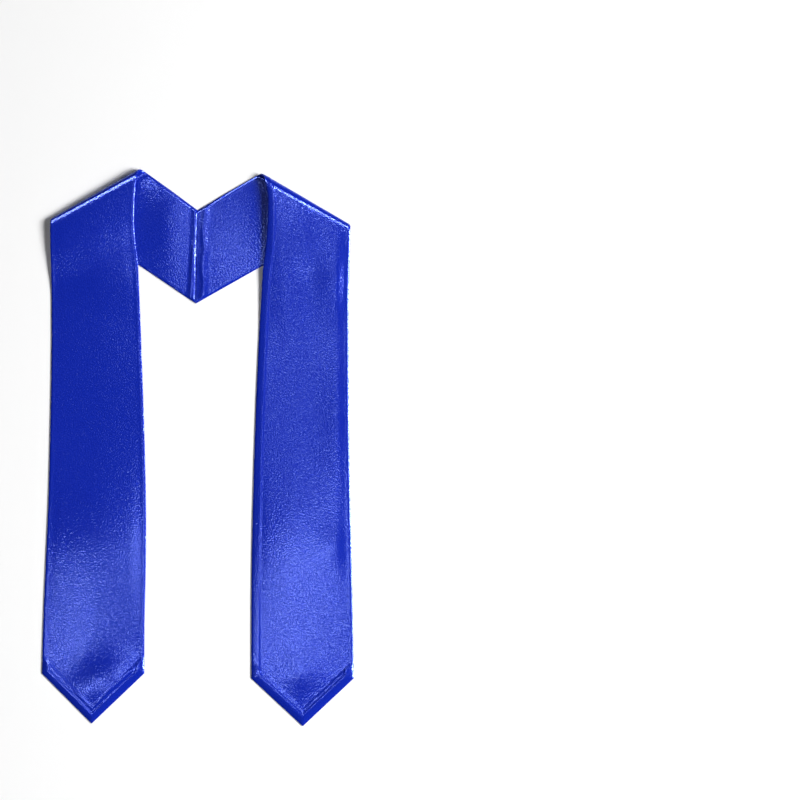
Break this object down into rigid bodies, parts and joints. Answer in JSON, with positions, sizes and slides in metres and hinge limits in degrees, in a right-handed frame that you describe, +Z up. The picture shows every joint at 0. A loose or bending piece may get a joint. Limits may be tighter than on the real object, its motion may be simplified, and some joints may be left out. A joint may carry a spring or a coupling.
{
  "type": "graduation stole",
  "caption": "Satin graduation stole with a mitred neckband and long panels with pointed ends, worn over the shoulders, lying flat with the panels folded over the band.",
  "frame": {"origin": "centre of the stole's width and length, on the surface that it lies on", "axes": "+X to the viewer's right across the stole, +Y from the pointed ends to the neckband, +Z up, the way the front of the stole faces"},
  "size_m": [0.4394, 0.784, 0.0178],
  "materials": {
    "satin_face": "royal blue satin, soft sheen",
    "satin_backing": "royal blue satin, soft sheen"
  },
  "bodies": {
    "root": {"left_half_face": "satin_face", "left_half_backing": "satin_backing", "right_half_face": "satin_face", "right_half_backing": "satin_backing"}
  },
  "joints": []
}
